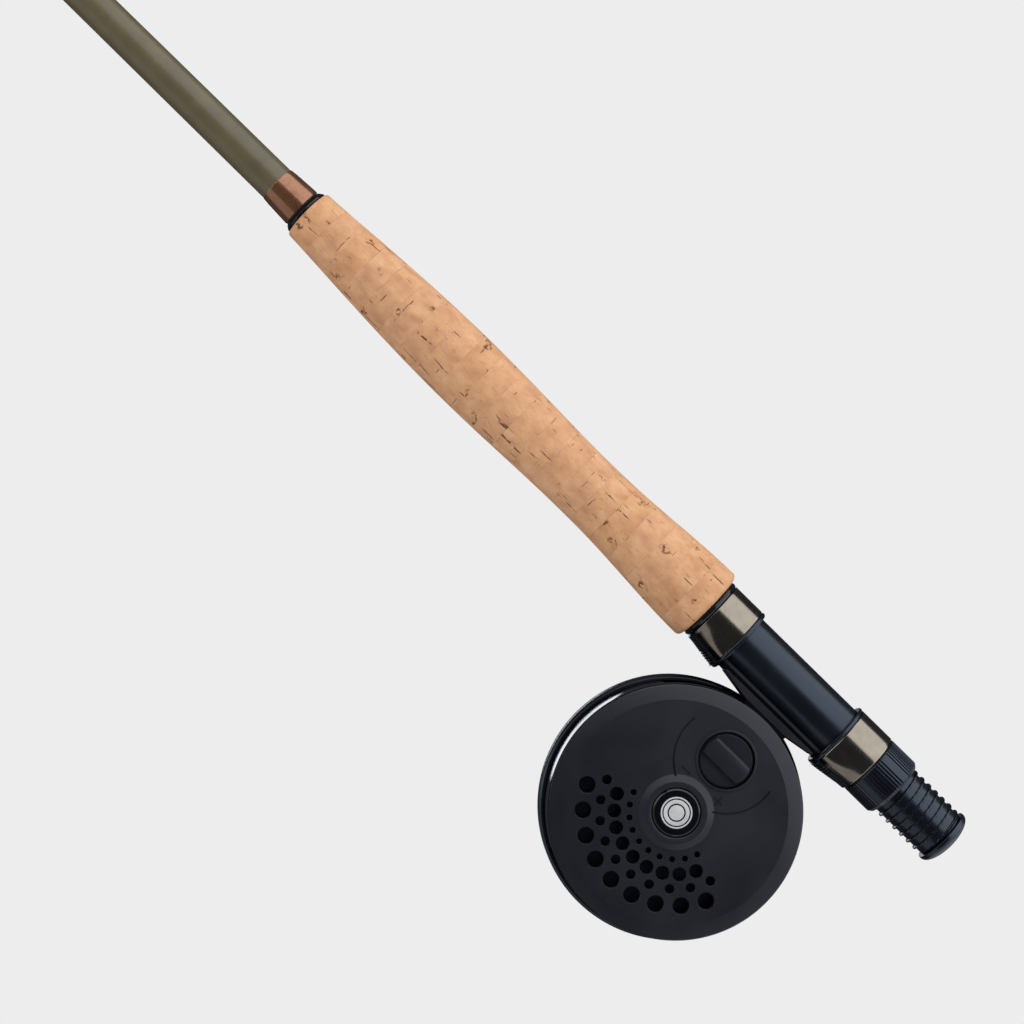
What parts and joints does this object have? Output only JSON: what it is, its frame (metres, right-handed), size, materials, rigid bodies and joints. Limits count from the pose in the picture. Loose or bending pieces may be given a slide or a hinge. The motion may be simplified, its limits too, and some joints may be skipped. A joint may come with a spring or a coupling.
{
  "type": "fly fishing rod with reel",
  "caption": "Fly rod in sections with a cork grip and a down-locking reel seat, carrying a single-action reel whose spool, handle, drag knob, latch and click turn or slide.",
  "frame": {"origin": "centre of the butt cap's flat end", "axes": "+Z along the rod to the tip top; the reel hangs towards -X; the reel's spindle runs along Y, with its drag knob facing -Y and its handle facing +Y"},
  "size_m": [0.1051, 0.0493, 2.438],
  "materials": {
    "olive_blank": "satin lacquered glass fibre, olive green",
    "cork": "sanded natural cork, glued in rings",
    "thread_wrap": "wound thread under clear epoxy, dark brown",
    "black_plastic": "moulded black plastic, low gloss",
    "gloss_black": "gloss black anodised aluminium",
    "gunmetal": "polished gunmetal-coloured aluminium",
    "bright_steel": "polished stainless steel",
    "brass": "turned brass",
    "ceramic": "polished dark ceramic",
    "grey_mark": "printed aluminium disc, grey"
  },
  "bodies": {
    "butt": {"butt_cap": "gloss_black", "seat_barrel": "black_plastic", "fixed_hood": "black_plastic", "fixed_hood_ring": "gunmetal", "rear_check": "gloss_black", "cork_grip": "cork", "winding_check": "gloss_black", "grip_wrap": "thread_wrap", "butt_section": "olive_blank", "reel_foot": "black_plastic", "foot_screw_1": "bright_steel", "foot_screw_2": "bright_steel", "reel_frame": "black_plastic", "spindle": "bright_steel", "centre_cap": "grey_mark", "pawl_pin": "bright_steel", "pawl_spring": "bright_steel"},
    "sliding_hood": {"sliding_hood": "black_plastic", "sliding_hood_ring": "gunmetal"},
    "locking_nut": {"locking_nut": "black_plastic"},
    "spool": {"spool": "black_plastic", "spool_bush": "brass", "click_gear": "brass", "handle_post": "bright_steel", "counterweight": "bright_steel", "latch_cover": "black_plastic", "cover_screw_1": "bright_steel", "cover_screw_2": "bright_steel", "latch_spring": "bright_steel"},
    "handle": {"handle_knob": "black_plastic"},
    "latch": {"spool_latch": "bright_steel"},
    "drag_knob": {"drag_knob": "black_plastic", "drag_cam": "brass"},
    "drag_shoe": {"drag_shoe": "black_plastic"},
    "pawl": {"click_pawl": "bright_steel"},
    "lower_middle": {"lower_middle_section": "olive_blank", "ferrule_wrap_1": "thread_wrap", "stripping_guide_frame": "bright_steel", "stripping_guide_ring": "ceramic", "stripping_guide_wrap_lower": "thread_wrap", "stripping_guide_wrap_upper": "thread_wrap", "snake_guide_1": "bright_steel"},
    "upper_middle": {"upper_middle_section": "olive_blank", "ferrule_wrap_2": "thread_wrap", "snake_guide_2": "bright_steel", "snake_guide_3": "bright_steel"},
    "tip": {"tip_section": "olive_blank", "ferrule_wrap_3": "thread_wrap", "snake_guide_4": "bright_steel", "snake_guide_5": "bright_steel", "snake_guide_6": "bright_steel", "snake_guide_7": "bright_steel", "tip_top": "bright_steel"}
  },
  "joints": [
    {"name": "nut_turn", "type": "hinge", "parent": "sliding_hood", "child": "locking_nut", "pos_m": [0, 0, 0.0299], "axis": [0, 0, 1], "range_deg": [-2240, 0]},
    {"name": "hood_slide", "type": "slide", "parent": "butt", "child": "sliding_hood", "axis": [0, 0, 1], "range_m": [-0.018, 0]},
    {"name": "spool_turn", "type": "hinge", "parent": "butt", "child": "spool", "pos_m": [-0.0517, 0, 0.0687], "axis": [0, 1, 0], "continuous": true},
    {"name": "handle_turn", "type": "hinge", "parent": "spool", "child": "handle", "pos_m": [-0.0517, 0, 0.0387], "axis": [0, 1, 0], "continuous": true},
    {"name": "latch_slide", "type": "slide", "parent": "spool", "child": "latch", "axis": [-1, 0, 0], "range_m": [0, 0.0008], "stiffness_N_per_m": 300, "springref_m": -0.003},
    {"name": "drag_turn", "type": "hinge", "parent": "butt", "child": "drag_knob", "pos_m": [-0.03, 0, 0.0687], "axis": [0, 1, 0], "range_deg": [-50, 50]},
    {"name": "shoe_slide", "type": "slide", "parent": "butt", "child": "drag_shoe", "axis": [-1, 0, 0], "range_m": [-0.0008, 0.0008]},
    {"name": "pawl_lift", "type": "hinge", "parent": "butt", "child": "pawl", "pos_m": [-0.0452, 0, 0.0842], "axis": [0, 1, 0], "range_deg": [0, 12], "stiffness_Nm_per_rad": 0.02, "springref_deg": -11.46},
    {"name": "lower_middle_pull", "type": "slide", "parent": "butt", "child": "lower_middle", "axis": [0, 0, 1], "range_m": [0, 0.07]},
    {"name": "upper_middle_pull", "type": "slide", "parent": "lower_middle", "child": "upper_middle", "axis": [0, 0, 1], "range_m": [0, 0.07]},
    {"name": "tip_pull", "type": "slide", "parent": "upper_middle", "child": "tip", "axis": [0, 0, 1], "range_m": [0, 0.07]}
  ],
  "couplings": [
    {"joint": "hood_slide", "follows": "nut_turn", "m_per_rad": 0.00045837},
    {"joint": "shoe_slide", "follows": "drag_turn", "m_per_rad": 0.0009}
  ]
}
